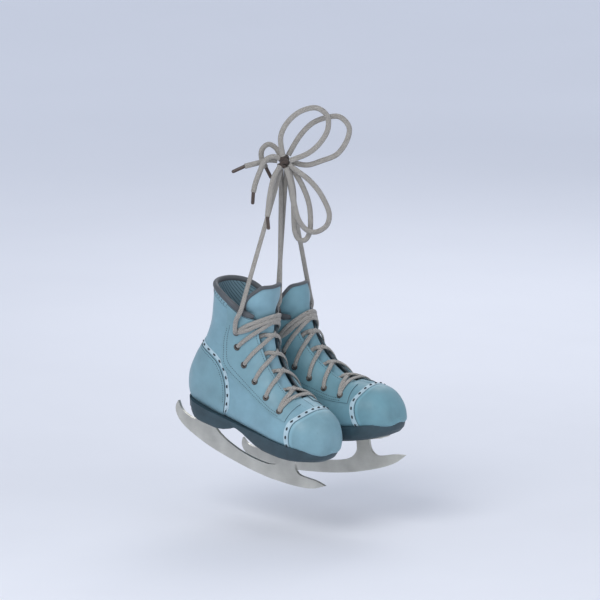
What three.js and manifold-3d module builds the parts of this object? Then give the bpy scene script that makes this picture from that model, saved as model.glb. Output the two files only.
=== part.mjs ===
// A pair of lace-up figure skates hung up by their own laces.
//
// The origin is the knot, +Z is up, millimetres. Each skate is built in its own frame (x from
// the back of the heel to the toe, y to the skater's left, z up from the bottom of the heel)
// and is then turned and placed in its group. "near" is the right skate, "far" the left one.
import * as THREE from "three";
import { mergeVertices } from "three/addons/utils/BufferGeometryUtils.js";
import Module from "manifold-3d";

// ---------------------------------------------------------------- driving dimensions
const SOLE_LENGTH = 241; // over the outsole, an EU 36 boot
const WELT = 1.8; // how far the outsole stands out past the upper
const FIT = 0.3; // gap between pieces that touch
const SMALLEST = 0.04; // edges shorter than this are merged after a cut
const UPPER = 3; // thickness of the quarters and the toe cap
const OVERLAY = 1.2; // thickness of the pieces sewn on top of the quarters
const LINING = 1.5;
const PADDING = 5; // thickness of the tongue
const HEEL_HEIGHT = 12.7; // heel block, under the outsole
const OUTSOLE_TOP = 19; // edge of the outsole at the forefoot
const BLADE_THICKNESS = 4;
const PLATE = 2; // thickness of the blade's two mounting plates
const PLATE_HALF_WIDTH = 19;
const SCREW_RADIUS = 2;
const SCREW_LENGTH = 9;
const LACE_RADIUS = 2.6; // the free parts of the lace
const LACING_RADIUS = 1.9; // the lace where it is pulled tight through the eyelets
const LACING_SLACK = 1.8; // room between that lace and the facings and tongue
const CROSSING = 1.6; // height at which the laces cross over the tongue
const EYELET_HOLE = 2.7; // radius
const KNOT = [10, 10, 11]; // half sizes
const RING_POINTS = 20; // points round each section of the upper
const TOE_SWING = 4; // how far the toe leans to the inner side

// Where the skates hang: heel position, yaw away from +X and pitch, toe down positive.
const NEAR = { at: [-123.4, 49.5, -328.6], yaw: -40, pitch: 11 };
const FAR = { at: [-39.5, 88.4, -381], yaw: -36, pitch: -8.7 };

// Sections of the upper from the toe up to the top of the shaft: the bottom or back point, the
// top or front point, the half width, how square the bottom is, and where the section is widest.
const SECTIONS = [
  { b: [238, 15], f: [238, 23], w: 13, square: 3, wide: 0.4 },
  { b: [235, 14], f: [235.5, 39], w: 22, square: 4, wide: 0.36 },
  { b: [228, 14], f: [229, 52], w: 29.5, square: 4.5, wide: 0.36 },
  { b: [214, 14], f: [218, 62], w: 36.5, square: 4.5, wide: 0.36 },
  { b: [195, 14], f: [199, 68], w: 41, square: 4.5, wide: 0.36 },
  { b: [173, 14], f: [178, 73], w: 42, square: 4.5, wide: 0.36 },
  { b: [148, 15], f: [160, 81], w: 40, square: 4.5, wide: 0.36 },
  { b: [118, 15.5], f: [143, 96], w: 37, square: 4.5, wide: 0.36 },
  { b: [84, 16], f: [131, 111], w: 35, square: 4.2, wide: 0.38 },
  { b: [48, 16.5], f: [124, 126], w: 34, square: 3.6, wide: 0.4 },
  { b: [15, 20], f: [119, 141], w: 33.5, square: 2.8, wide: 0.43 },
  { b: [3, 45], f: [117, 152], w: 33.5, square: 2.3, wide: 0.48 },
  { b: [9, 74], f: [115.5, 160], w: 34, square: 2.2, wide: 0.48 },
  { b: [20, 100], f: [114.5, 168], w: 34.5, square: 2.2, wide: 0.48 },
  { b: [26, 128], f: [114, 175], w: 35.5, square: 2.2, wide: 0.48 },
  { b: [25, 156], f: [113, 181], w: 36.5, square: 2.2, wide: 0.48 },
  { b: [22, 184], f: [112, 190], w: 37, square: 2.2, wide: 0.48 },
  { b: [20, 212], f: [110, 208], w: 37, square: 2.2, wide: 0.48 },
];
const TOP_SECTION = SECTIONS.length - 1;
const ROUND = 2.15; // superellipse exponent of the top or front side of a section

// Lines on the upper in side view, [x, z].
const COLLAR_LINE = [[-20, 179], [40, 177], [70, 168], [96, 158], [140, 154]];
const COLLAR_HEIGHT = 7;
const TOE_BOX = 220; // the footbed stops short of the toe
const VAMP = 190; // so does the lining, at the toe cap
const FOOTBED_LINE = [[-60, 30], [50, 29], [120, 25], [175, 23], [VAMP, 23]];
const TOE_CAP_LINE = [[208, -5], [203, 16], [199, 34], [200, 50], [208, 63], [214, 90]];
const COUNTER_LINE = [[80, -5], [84, 22], [85, 44], [78, 66], [63, 85], [45, 94], [20, 99], [-20, 101]];

// The opening down the front: its half width, the facings beside it and the eyelet rows.
// Distances round a section count ring points from the front; t counts sections from the toe.
const SLOT = 1;
const SLOT_WIDENS = 1.1; // how much wider it gets on each side from the throat up to the collar
const THROAT = 4.9;
const COLLAR_SECTION = 13;
const FACING = 2.7; // width of a facing
const FACING_START = 4.35;
const EYELETS = [
  { t: 5.1, u: 3 },
  { t: 6.4, u: 3.05 },
  { t: 7.6, u: 3.1 },
  { t: 9, u: 3.2 },
  { t: 10.5, u: 3.35 },
  { t: 12, u: 3.6 },
];
const TONGUE_SPLIT = 12.9; // section where the free top of the tongue starts
const TONGUE_CENTRE = -UPPER - FIT; // depth of the tongue's front along its middle
const TONGUE_SHOULDER = TONGUE_CENTRE - 1.4; // and beside it, under the crossing laces
const TONGUE_OVERLAP = 1.1; // how far the tongue reaches under each quarter

// Half of the sole in plan, [x, y], and its levels from the ground up.
const SOLE_HALF = [[-1, 0], [1, 12], [9, 23], [24, 30.5], [48, 33], [84, 33.4], [118, 35], [148, 38.3], [173, 40.6],
  [195, 39.8], [212, 35.2], [224, 28], [232, 18.5], [236.6, 9], [SOLE_LENGTH - 1 - WELT, 0]];
const SOLE_POINTS = 24;
const SOLE_TOP = [[-60, 28], [8, 26], [22, 22.5], [60, 19.5], [112, 18.5], [160, OUTSOLE_TOP], [300, OUTSOLE_TOP]];
const OUTSOLE_LEVELS = [
  { z: 0, edge: -1, back: 18, toe: 17 },
  { z: 3, edge: 0.4, back: 18, toe: 8 },
  { z: 8, edge: 1.4, back: 18, toe: 2.5 },
  { z: 13, edge: WELT, back: 17.5, toe: 0.5 },
  { z: 20, edge: WELT, back: 15, toe: 0 },
  { z: 28, edge: WELT, back: 13, toe: 0 },
  { z: 38, edge: WELT, back: 9.5, toe: 0 },
];
const HEEL_LEVELS = [
  { z: 0, edge: -1.5, back: 28, toe: 0 },
  { z: 1.5, edge: -0.2, back: 25, toe: 0 },
  { z: 4, edge: 0.4, back: 22.5, toe: 0 },
  { z: 8, edge: 0.8, back: 19.5, toe: 0 },
  { z: HEEL_HEIGHT, edge: 0.8, back: 17.5, toe: 0 },
];

// Side view of the blade, [x, z] from the bottom of the sole.
const RUNNER_BOTTOM = [[-16.5, 1], [-19.5, -7], [-17, -16], [-8, -24.5], [6, -31], [34, -38.5], [62, -43],
  [94, -46], [122, -47.6], [150, -47.6], [178, -45.4], [205, -41.5], [224, -36], [240, -27]];
const RUNNER_FRONT_TOP = [[240, -27], [224, -25.5], [205, -27], [194, -26], [187, -18], [186, -8]];
const BRIDGE = [[166, -8], [165, -18], [158, -26], [145, -30.3], [130, -31.4], [112, -31], [92, -28.5],
  [70, -23], [54, -16], [46, -8]];
const RUNNER_REAR_TOP = [[22, -8], [17, -13.5], [6, -13.2], [-4, -10.8], [-11, -6.5], [-16.5, 1]];
const STANCHIONS = [[22, 46], [166, 186]];

// ---------------------------------------------------------------- solids
const wasm = await Module();
wasm.setup();

function toSolid(geometry) {
  const bare = geometry.clone();
  bare.deleteAttribute("normal");
  bare.deleteAttribute("uv");
  const merged = mergeVertices(bare, 1e-4);
  return new wasm.Manifold(new wasm.Mesh({
    numProp: 3,
    vertProperties: new Float32Array(merged.attributes.position.array),
    triVerts: new Uint32Array(merged.index.array),
  }));
}

function toGeometry(solid) {
  const mesh = solid.asOriginal().setTolerance(SMALLEST).getMesh();
  const geometry = new THREE.BufferGeometry();
  geometry.setAttribute("position", new THREE.BufferAttribute(mesh.vertProperties, 3));
  geometry.setIndex(new THREE.BufferAttribute(mesh.triVerts, 1));
  geometry.computeVertexNormals();
  return geometry;
}

// A plate with the outline given in side view, from y0 to y1.
function prism(side, y0, y1) {
  const outline = Array.isArray(side) ? new THREE.Shape(side.map(([x, z]) => new THREE.Vector2(x, z))) : side;
  const geometry = new THREE.ExtrudeGeometry(outline, { depth: y1 - y0, bevelEnabled: false, curveSegments: 2 });
  geometry.rotateX(Math.PI / 2);
  geometry.translate(0, y1, 0);
  return toSolid(geometry);
}

// A plate with the outline given in plan, from z0 to z1.
function slab(shape, z0, z1) {
  const geometry = new THREE.ExtrudeGeometry(shape, { depth: z1 - z0, bevelEnabled: false, curveSegments: 6 });
  geometry.translate(0, 0, z0);
  return toSolid(geometry);
}

function cylinder(radius, x, y, z0, z1, sides = 12) {
  const geometry = new THREE.CylinderGeometry(radius, radius, z1 - z0, sides);
  geometry.rotateX(Math.PI / 2);
  geometry.translate(x, y, (z0 + z1) / 2);
  return toSolid(geometry);
}

// A straight rod from one point to another, a little long so that rods meeting at a bend join.
function rod(from, to, radius, sides = 6, over = 0.7) {
  const along = new THREE.Vector3().subVectors(to, from);
  const length = along.length();
  const geometry = new THREE.CylinderGeometry(radius, radius, length + 2 * over, sides);
  const turn = new THREE.Quaternion().setFromUnitVectors(new THREE.Vector3(0, 1, 0), along.normalize());
  geometry.applyQuaternion(turn);
  geometry.translate((from.x + to.x) / 2, (from.y + to.y) / 2, (from.z + to.z) / 2);
  return toSolid(geometry);
}

// A closed skin over a grid of points, rows by columns; the columns close on themselves.
function skin(rows) {
  const columns = rows[0].length;
  const points = rows.flat();
  const centre = (row) => row.reduce((sum, p) => sum.add(p), new THREE.Vector3()).divideScalar(row.length);
  const first = points.push(centre(rows[0])) - 1;
  const last = points.push(centre(rows[rows.length - 1])) - 1;
  const index = [];
  const at = (i, j) => i * columns + (j % columns);
  for (let i = 0; i + 1 < rows.length; i++) {
    for (let j = 0; j < columns; j++) {
      index.push(at(i, j), at(i + 1, j), at(i, j + 1));
      index.push(at(i + 1, j), at(i + 1, j + 1), at(i, j + 1));
    }
  }
  for (let j = 0; j < columns; j++) {
    index.push(first, at(0, j), at(0, j + 1));
    index.push(last, at(rows.length - 1, j + 1), at(rows.length - 1, j));
  }
  const geometry = new THREE.BufferGeometry().setFromPoints(points);
  geometry.setIndex(index);
  const solid = toSolid(geometry);
  if (solid.volume() > 0) return solid;
  geometry.setIndex(index.reverse());
  return toSolid(geometry);
}

// ---------------------------------------------------------------- the upper's surface
// The inner side is +y on the right skate (inner = 1) and -y on the left one (inner = -1).
class Last {
  constructor(inner) {
    this.points = SECTIONS.map((section) => this.ring(section, inner));
    this.normals = this.points.map((row, i) => row.map((_, j) => this.normal(i, j)));
  }

  ring({ b, f, w, square, wide }, inner) {
    const back = new THREE.Vector2(...b);
    const axis = new THREE.Vector2(...f).sub(back);
    return Array.from({ length: RING_POINTS }, (_, j) => {
      const angle = (2 * Math.PI * j) / RING_POINTS;
      const c = Math.cos(angle);
      const s = Math.sin(angle);
      const power = c < 0 ? square : ROUND;
      const reach = (Math.abs(c) ** power + Math.abs(s) ** power) ** (-1 / power);
      const along = wide + (c < 0 ? wide : 1 - wide) * reach * c;
      const x = back.x + axis.x * along;
      const z = back.y + axis.y * along;
      return new THREE.Vector3(x, w * reach * s + swing(x, inner), z);
    });
  }

  normal(i, j) {
    const rows = this.points;
    const n = RING_POINTS;
    const round = new THREE.Vector3().subVectors(rows[i][(j + 1) % n], rows[i][(j + n - 1) % n]);
    const up = new THREE.Vector3().subVectors(rows[Math.min(i + 1, TOP_SECTION)][j], rows[Math.max(i - 1, 0)][j]);
    return round.cross(up).normalize();
  }

  // A point off mm outside the surface, t sections from the toe and u ring points from the front.
  at(t, u, off) {
    const n = RING_POINTS;
    const i = Math.min(Math.floor(t), TOP_SECTION - 1);
    const j = Math.floor(u);
    const mix = (grid) => {
      const a = grid[i][((j % n) + n) % n].clone().lerp(grid[i][(((j + 1) % n) + n) % n], u - j);
      const b = grid[i + 1][((j % n) + n) % n].clone().lerp(grid[i + 1][(((j + 1) % n) + n) % n], u - j);
      return a.lerp(b, t - i);
    };
    return mix(this.points).addScaledVector(mix(this.normals), off);
  }

  // The whole form grown by off mm.
  form(off) {
    return skin(this.points.map((row, i) => row.map((p, j) => p.clone().addScaledVector(this.normals[i][j], off))));
  }

  // A piece that follows the surface: each row is a list of ring positions with the height of the
  // outside above each, and a thickness.
  strip(rows) {
    return skin(rows.map(({ t, us, highs, thick }) => {
      const outer = us.map((u, k) => this.at(t, u, highs[k]));
      const inner = us.map((u, k) => this.at(t, u, highs[k] - thick)).reverse();
      return [...outer, ...inner];
    }));
  }
}

// Half width of the opening at a section, with an edge added.
const opening = (t, edge) =>
  SLOT + edge + SLOT_WIDENS * Math.min(1.4, Math.max(0, (t - THROAT) / (COLLAR_SECTION - THROAT)));

function swing(x, inner) {
  return inner * TOE_SWING * Math.max(0, (x - 110) / 140) ** 2;
}

const steps = (from, to) => {
  const list = [from];
  for (let k = Math.floor(from) + 1; k < to; k++) list.push(k);
  return [...list, to];
};

// The region of the side view on one side of a line: beyond is the far corners that close it.
const region = (line, beyond, dx = 0, dz = 0) =>
  prism([...line.map(([x, z]) => [x + dx, z + dz]), ...beyond], -90, 90);

const belowCollar = (dz) => region(COLLAR_LINE, [[300, 156 + dz], [300, -60], [-20, -60]], 0, dz);

// ---------------------------------------------------------------- one skate
function skatePieces(inner) {
  const last = new Last(inner);
  const outside = last.form(0);
  const shell = outside.subtract(last.form(-UPPER));
  const overlay = last.form(FIT + OVERLAY).subtract(last.form(FIT));
  const toeBox = region([[TOE_BOX, 300], [TOE_BOX, -60]], [[-60, -60], [-60, 300]]);
  const lining = last.form(-UPPER - FIT).subtract(last.form(-UPPER - FIT - LINING))
    .intersect(region(FOOTBED_LINE, [[VAMP, 300], [-60, 300]], 0, FIT));
  const cavity = last.form(-UPPER - 2 * FIT - LINING).intersect(toeBox);

  const slot = (edge, start) => last.strip(steps(start, TOP_SECTION).map((t) => ({
    t, us: [-1, -0.5, 0, 0.5, 1].map((k) => k * opening(t, edge)), highs: [14, 14, 14, 14, 14], thick: 30,
  })));
  const eyelets = EYELETS.flatMap((row) => [-1, 1].map((side) => ({ ...row, side })));
  const holes = eyelets.map(({ t, u, side }) =>
    rod(last.at(t, side * u, -7), last.at(t, side * u, 5), EYELET_HOLE, 8, 0));
  const side = (sign) => prism([[-60, -60], [300, -60], [300, 260], [-60, 260]],
    sign > 0 ? FIT / 2 : -90, sign > 0 ? 90 : -FIT / 2);
  const cut = (solid, tools) => tools.reduce((s, tool) => s.subtract(tool), solid);

  const toeRegion = (dx) => region(TOE_CAP_LINE, [[300, 90], [300, -5]], dx);
  const counterRegion = region(COUNTER_LINE, [[-20, -5]]);
  const pieces = {};

  // The upper.
  const quarters = cut(shell.intersect(belowCollar(0)), [toeRegion(-FIT), slot(0, THROAT), ...holes]);
  const facings = cut(
    overlay.intersect(slot(FACING, FACING_START)).intersect(belowCollar(0)),
    [toeRegion(-FIT), slot(0, THROAT), ...holes],
  );
  for (const [name, sign] of [["lateral", -inner], ["medial", inner]]) {
    pieces[name + "_quarter"] = quarters.intersect(side(sign));
    pieces[name + "_facing"] = facings.intersect(side(sign));
  }
  pieces.toe_cap = shell.intersect(toeRegion(0));
  pieces.heel_counter = overlay.intersect(counterRegion).subtract(region(SOLE_TOP, [[300, -60], [-60, -60]], 0, FIT));
  const throatZone = slot(FACING, FACING_START - 0.6);
  pieces.lining = lining.intersect(belowCollar(0)).subtract(throatZone);
  const rim = last.form(1.6).subtract(last.form(-UPPER - LINING - 2 * FIT));
  pieces.collar = rim.intersect(belowCollar(COLLAR_HEIGHT + FIT)).subtract(belowCollar(FIT)).subtract(slot(0.35, THROAT));
  pieces.footbed = cavity.intersect(region(FOOTBED_LINE, [[300, 23], [300, -60], [-60, -60]]));

  // The tongue, raised along its middle between the facings, and its free top, which stands up in
  // front of the ankle and flattens out.
  const under = -UPPER - 2 * LACING_RADIUS - 2 * LACING_SLACK;
  const across = (t, edge) => {
    const gap = opening(t, 0);
    return [-gap - edge, -0.75 * gap, -0.35 * gap, 0, 0.35 * gap, 0.75 * gap, gap + edge];
  };
  const raised = [under, under, TONGUE_SHOULDER, TONGUE_CENTRE, TONGUE_SHOULDER, under, under];
  pieces.tongue = last.strip(steps(4.3, TONGUE_SPLIT - 0.03).map((t) => ({
    t, us: across(t, TONGUE_OVERLAP), highs: raised, thick: PADDING,
  })));
  const flare = [
    [TONGUE_SPLIT + 0.03, 1, 0, 0], [13.4, 1, 0, 0], [14, 0.95, 0.1, 0], [14.6, 0.75, 0.6, 0.4], [15.2, 0.5, 1, 0.6],
    [15.8, 0.15, 1, 0.8], [16.3, -0.5, 1, 1], [16.6, -1.3, 1, 1.2],
  ];
  pieces.tongue_top = last.strip(flare.map(([t, edge, flat, out]) => {
    const us = across(t, edge * TONGUE_OVERLAP);
    const half = us[6];
    return {
      t,
      us: us.map((u, k) => u + (((k - 3) / 3) * half - u) * flat),
      highs: raised.map((high) => high + (TONGUE_CENTRE - high) * flat + out),
      thick: PADDING,
    };
  }));
  pieces.lacing = lacing(last);

  // The sole.
  const outsole = skin(OUTSOLE_LEVELS.map((level) => soleLevel(inner, level))).intersect(prism([
    ...SOLE_TOP, [300, -5], [158, -5],
    [158, 0], [146, 2.5], [134, 6.5], [122, 10.5], [112, 12.4], [104, HEEL_HEIGHT + FIT], [-60, HEEL_HEIGHT + FIT],
  ], -70, 70)).subtract(last.form(FIT));
  const heel = skin(HEEL_LEVELS.map((level) => soleLevel(inner, level))).intersect(prism([
    [-20, HEEL_HEIGHT + 1], [-20, -5], [74, -5], [74, 0], [88, 3.5], [100, 8.5], [109, HEEL_HEIGHT + 1],
  ], -70, 70));

  // The blade, its two plates and the screws that hold them to the sole and the heel.
  const places = [[53, "heel", "rear"], [66, "heel", "front"], [160, "outsole", "rear"], [204, "outsole", "front"]];
  const bores = places.map(([x]) => cylinder(SCREW_RADIUS + FIT, x, 0, -10, SCREW_LENGTH + FIT));
  pieces.outsole = cut(outsole, bores.slice(2));
  pieces.heel = cut(heel, bores.slice(0, 2));
  pieces.heel_plate = cut(plate(25, 73), bores.slice(0, 2));
  pieces.sole_plate = cut(plate(150, 215), bores.slice(2));
  pieces.blade = blade();
  places.forEach(([x, where, end]) => {
    pieces["screw_" + (where === "heel" ? "heel_" : "sole_") + end] = screw(x);
  });
  return pieces;
}

// The lace drawn tight: it comes out of each eyelet, crosses the tongue to the next row on the
// other side, dives under that facing and comes out of its eyelet.
function lacing(last) {
  const over = FIT + OVERLAY + LACING_SLACK + LACING_RADIUS;
  const under = -UPPER - LACING_SLACK - LACING_RADIUS;
  const runs = [];
  const run = (points) => runs.push(tube(points.map((p) => last.at(...p)), LACING_RADIUS, 13, 3));
  for (const side of [-1, 1]) {
    for (const { t, u } of EYELETS) {
      runs.push(rod(last.at(t, side * u, under), last.at(t, side * u, over), LACING_RADIUS));
    }
    for (let i = 0; i + 1 < EYELETS.length; i++) {
      const a = EYELETS[i];
      const b = EYELETS[i + 1];
      const mix = (k) => a.t + (b.t - a.t) * k;
      const edge = opening(mix(0.5), 0);
      run([
        [a.t, side * a.u, over],
        [mix(0.15), side * (a.u + edge) / 2, over],
        [mix(0.3), side * 0.9 * edge, over - 0.8],
        [mix(0.5), 0, CROSSING],
        [mix(0.62), -side * 0.45 * edge, -0.8],
        [mix(0.72), -side * 0.85 * edge, under],
        [mix(0.86), -side * (b.u + 0.85 * edge) / 2, under],
        [b.t, -side * b.u, under],
      ]);
    }
  }
  for (const { t, u } of [EYELETS[0], EYELETS[EYELETS.length - 1]]) {
    run([-1, -0.75, -0.4, 0, 0.4, 0.75, 1].map((k) => [t, k * u, over]));
  }
  return runs.reduce((all, one) => all.add(one));
}

// Plan outline of the sole at one level: how far it is grown past the upper, and how far the back
// of the heel and the tip of the toe are drawn in there.
function soleLevel(inner, { z, edge, back, toe }) {
  const curve = new THREE.SplineCurve(SOLE_HALF.map(([x, y]) => new THREE.Vector2(x, y)));
  const half = curve.getPoints(SOLE_POINTS).map(({ x, y }, k) => {
    const heelPart = Math.max(0, 1 - (x + 1) / 50);
    const toePart = Math.max(0, (x - 180) / 58);
    const grownX = x + edge * (toePart - heelPart) + back * heelPart - toe * toePart;
    return [grownX, k === 0 || k === SOLE_POINTS ? 0 : Math.max(1, y + edge)];
  });
  const mirrored = half.slice(1, -1).reverse().map(([x, y]) => [x, -y]);
  return [...half, ...mirrored].map(([x, y]) => new THREE.Vector3(x, y + swing(x, inner), z));
}

function blade() {
  const shape = new THREE.Shape();
  const vectors = (points) => points.map(([x, z]) => new THREE.Vector2(x, z));
  const top = -PLATE - 2 * FIT;
  shape.moveTo(...RUNNER_BOTTOM[0]);
  shape.splineThru(vectors(RUNNER_BOTTOM.slice(1)));
  shape.splineThru(vectors(RUNNER_FRONT_TOP.slice(1)));
  shape.lineTo(STANCHIONS[1][1], top);
  shape.lineTo(STANCHIONS[1][0], top);
  shape.lineTo(...BRIDGE[0]);
  shape.splineThru(vectors(BRIDGE.slice(1)));
  shape.lineTo(STANCHIONS[0][1], top);
  shape.lineTo(STANCHIONS[0][0], top);
  shape.lineTo(...RUNNER_REAR_TOP[0]);
  shape.splineThru(vectors(RUNNER_REAR_TOP.slice(1)));
  return prism(shape, -BLADE_THICKNESS / 2, BLADE_THICKNESS / 2);
}

// A mounting plate with round ends under the sole.
function plate(x0, x1) {
  const r = PLATE_HALF_WIDTH;
  const shape = new THREE.Shape();
  shape.absarc(x1 - r, 0, r, -Math.PI / 2, Math.PI / 2);
  shape.absarc(x0 + r, 0, r, Math.PI / 2, (3 * Math.PI) / 2);
  return slab(shape, -PLATE - FIT, -FIT);
}

// A flat-headed screw standing up through a plate.
function screw(x) {
  const head = -PLATE - 2 * FIT;
  const profile = [[0, head - 1.8], [3.2, head - 1.6], [4, head - 0.8], [4, head], [SCREW_RADIUS, head],
    [SCREW_RADIUS, SCREW_LENGTH - 2], [0, SCREW_LENGTH]];
  const geometry = new THREE.LatheGeometry(profile.map(([r, z]) => new THREE.Vector2(r, z)), 10);
  geometry.rotateX(Math.PI / 2);
  geometry.translate(x, 0, 0);
  return toSolid(geometry);
}

// ---------------------------------------------------------------- the free laces
function tube(points, radius, step = 14, quarterSides = 4) {
  const curve = new THREE.CatmullRomCurve3(points, false, "centripetal");
  const section = new THREE.Shape();
  section.absarc(0, 0, radius, 0, 2 * Math.PI);
  const geometry = new THREE.ExtrudeGeometry(section, {
    steps: Math.max(2, Math.round(curve.getLength() / step)),
    curveSegments: quarterSides,
    extrudePath: curve,
  });
  return toSolid(geometry);
}

function ellipsoid([rx, ry, rz]) {
  const geometry = new THREE.SphereGeometry(1, 14, 9);
  geometry.rotateX(Math.PI / 2);
  geometry.scale(rx, ry, rz);
  return toSolid(geometry);
}

// The bow's loops and ends, as points the lace passes; they start or end inside the knot.
const LOOPS = [
  [[-1, -4, 6], [-4, -7, 35], [5, -8, 54], [22, -8, 68], [42, -8, 72], [55, -8, 62], [56, -8, 45],
    [47, -8, 28], [32, -8, 14], [5, -4, 2]],
  [[4, 4, 6], [21, 7, 34], [37, 7, 50], [55, 7, 57], [71, 6, 58], [83, 6, 45], [81, 6, 29], [68, 4, 10],
    [49, 2, 2], [29, 3, -4], [6, 3, 1]],
  [[6, -6, -2], [35, -9, -24], [50, -9, -45], [58, -9, -67], [54, -9, -81], [40, -9, -89], [29, -9, -86],
    [19, -12, -73], [13, -14, -50], [9, -14, -25], [3, -9, -5]],
  [[8, -1, -3], [24, -2, -31], [32, -1, -54], [34, -1, -78], [32.5, -2, -92], [27, -3, -100.5], [19.5, -3, -100],
    [14.5, -3, -91], [13, -2.5, -78], [12.5, -2.5, -60], [12, -3.5, -35], [6, -4.5, -7]],
];
const ENDS = [
  { lace: [[-5, 0, 2], [-20, -1, 3], [-32, -2, 0], [-50, -3, -4.5]], aglet: [-66.5, -4, -12] },
  { lace: [[-6, -3, 6], [-14, -7, 9], [-24, -8, 4], [-31, -8, -11], [-36.5, -8, -26], [-39, -8, -37]],
    aglet: [-40, -8, -53] },
  { lace: [[-5, -7, -4], [-13, -19, -16], [-18, -29, -38], [-21, -33, -64]], aglet: [-19.5, -35, -80.5] },
  { lace: [[-4, 4, 7], [-11, 7, 18], [-20, 8, 22], [-28, 8, 15], [-28.5, 8, 3], [-23, 7, -8]],
    aglet: [-16, 6, -22] },
];
const SWINGING_END = 2; // the end that hangs against the near skate's strands and moves with them
const STRAND_ENDS = {
  near: { lateral: [-3.2, -4.2, -7], medial: [-3.4, 3.2, -7] },
  far: { medial: [3.2, 2.5, -7], lateral: [2.6, 7.2, -4] },
};

// The room a skate's strands leave for the knot is round, so they clear it as the skate swings.
const swingRoom = () => ellipsoid(KNOT.map(() => Math.max(...KNOT) + FIT));

function bowPieces() {
  const room = ellipsoid(KNOT.map((r) => r + FIT));
  const pieces = { knot: ellipsoid(KNOT) };
  const point = (p) => new THREE.Vector3(...p);
  LOOPS.forEach((route, k) => {
    pieces["bow_loop_" + (k + 1)] = tube(route.map(point), LACE_RADIUS).subtract(room);
  });
  ENDS.forEach(({ lace, aglet }, k) => {
    const route = lace.map(point);
    pieces["lace_end_" + (k + 1)] = tube(route, LACE_RADIUS, 8).subtract(k === SWINGING_END ? swingRoom() : room);
    const end = route[route.length - 1];
    const along = point(aglet).sub(end).normalize();
    pieces["aglet_" + (k + 1)] = rod(end.clone().addScaledVector(along, 2 * FIT), point(aglet), LACE_RADIUS - 0.3, 10, 0);
  });
  return pieces;
}

// The lace from a top eyelet over the collar to the knot, in the frame of the whole pair.
function strand(group, last, side, knotEnd) {
  const top = EYELETS[EYELETS.length - 1];
  const out = FIT + OVERLAY + LACING_SLACK + 2 * LACING_RADIUS + 2 * FIT + LACE_RADIUS;
  const local = [
    last.at(top.t, side * top.u, out),
    last.at(top.t + 0.9, side * (top.u + 0.15), out + 1),
    last.at(14.5, side * 3.5, 6.5),
  ];
  group.updateMatrixWorld(true);
  const world = local.map((p) => group.localToWorld(p.clone()));
  const knot = new THREE.Vector3(...knotEnd);
  const taut = [0.06, 0.5, 0.9].map((k) => world[2].clone().lerp(knot, k));
  const route = [...world, ...taut, knot];
  return tube(route, LACE_RADIUS, 14).subtract(swingRoom());
}

// ---------------------------------------------------------------- colours and the scene
const LEATHER = { color: 0x7ba5bc, roughness: 0.55, metalness: 0 };
const FAR_LEATHER = { color: 0x6e9bac, roughness: 0.55, metalness: 0 };
const OVERLAY_LEATHER = { color: 0x86afc4, roughness: 0.5, metalness: 0 };
const SOLE = { color: 0x48626e, roughness: 0.5, metalness: 0 };
const INSIDE = { color: 0x6e8c98, roughness: 0.8, metalness: 0 };
const RIM = { color: 0x5a5a5c, roughness: 0.7, metalness: 0 };
const STEEL = { color: 0xa8aead, roughness: 0.4, metalness: 0.9 };
const LACE = { color: 0xb6b4ad, roughness: 0.8, metalness: 0 };
const DARK = { color: 0x524642, roughness: 0.6, metalness: 0 };

const LOOKS = {
  toe_cap: OVERLAY_LEATHER, heel_counter: OVERLAY_LEATHER, lateral_facing: OVERLAY_LEATHER,
  medial_facing: OVERLAY_LEATHER, lining: INSIDE, footbed: INSIDE, collar: RIM, lacing: LACE,
  outsole: SOLE, heel: SOLE, blade: STEEL, heel_plate: STEEL, sole_plate: STEEL,
  screw_heel_rear: STEEL, screw_heel_front: STEEL, screw_sole_rear: STEEL, screw_sole_front: STEEL,
};

function addMeshes(group, pieces, prefix, look) {
  for (const [name, solid] of Object.entries(pieces)) {
    const mesh = new THREE.Mesh(toGeometry(solid), new THREE.MeshStandardMaterial(look(name)));
    mesh.name = prefix + name;
    group.add(mesh);
  }
}

const pair = new THREE.Group();
addMeshes(pair, bowPieces(), "", (name) => (name === "knot" || name.startsWith("aglet") ? DARK : LACE));

for (const [name, place, inner, leather] of [["near", NEAR, 1, LEATHER], ["far", FAR, -1, FAR_LEATHER]]) {
  const skate = new THREE.Group();
  skate.position.set(...place.at);
  skate.rotation.set(0, THREE.MathUtils.degToRad(place.pitch), THREE.MathUtils.degToRad(place.yaw), "ZYX");
  addMeshes(skate, skatePieces(inner), name + "_", (piece) => LOOKS[piece] ?? leather);
  pair.add(skate);
  const last = new Last(inner);
  const strands = {};
  for (const [side, sign] of [["lateral", -inner], ["medial", inner]]) {
    strands["strand_" + side] = strand(skate, last, sign, STRAND_ENDS[name][side]);
  }
  addMeshes(pair, strands, name + "_", () => LACE);
}

export default pair;
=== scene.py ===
"""The looks of a pair of figure skates that hang from their own laces."""

import math

import bpy
import numpy as np
from mathutils import Matrix, Vector


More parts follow.
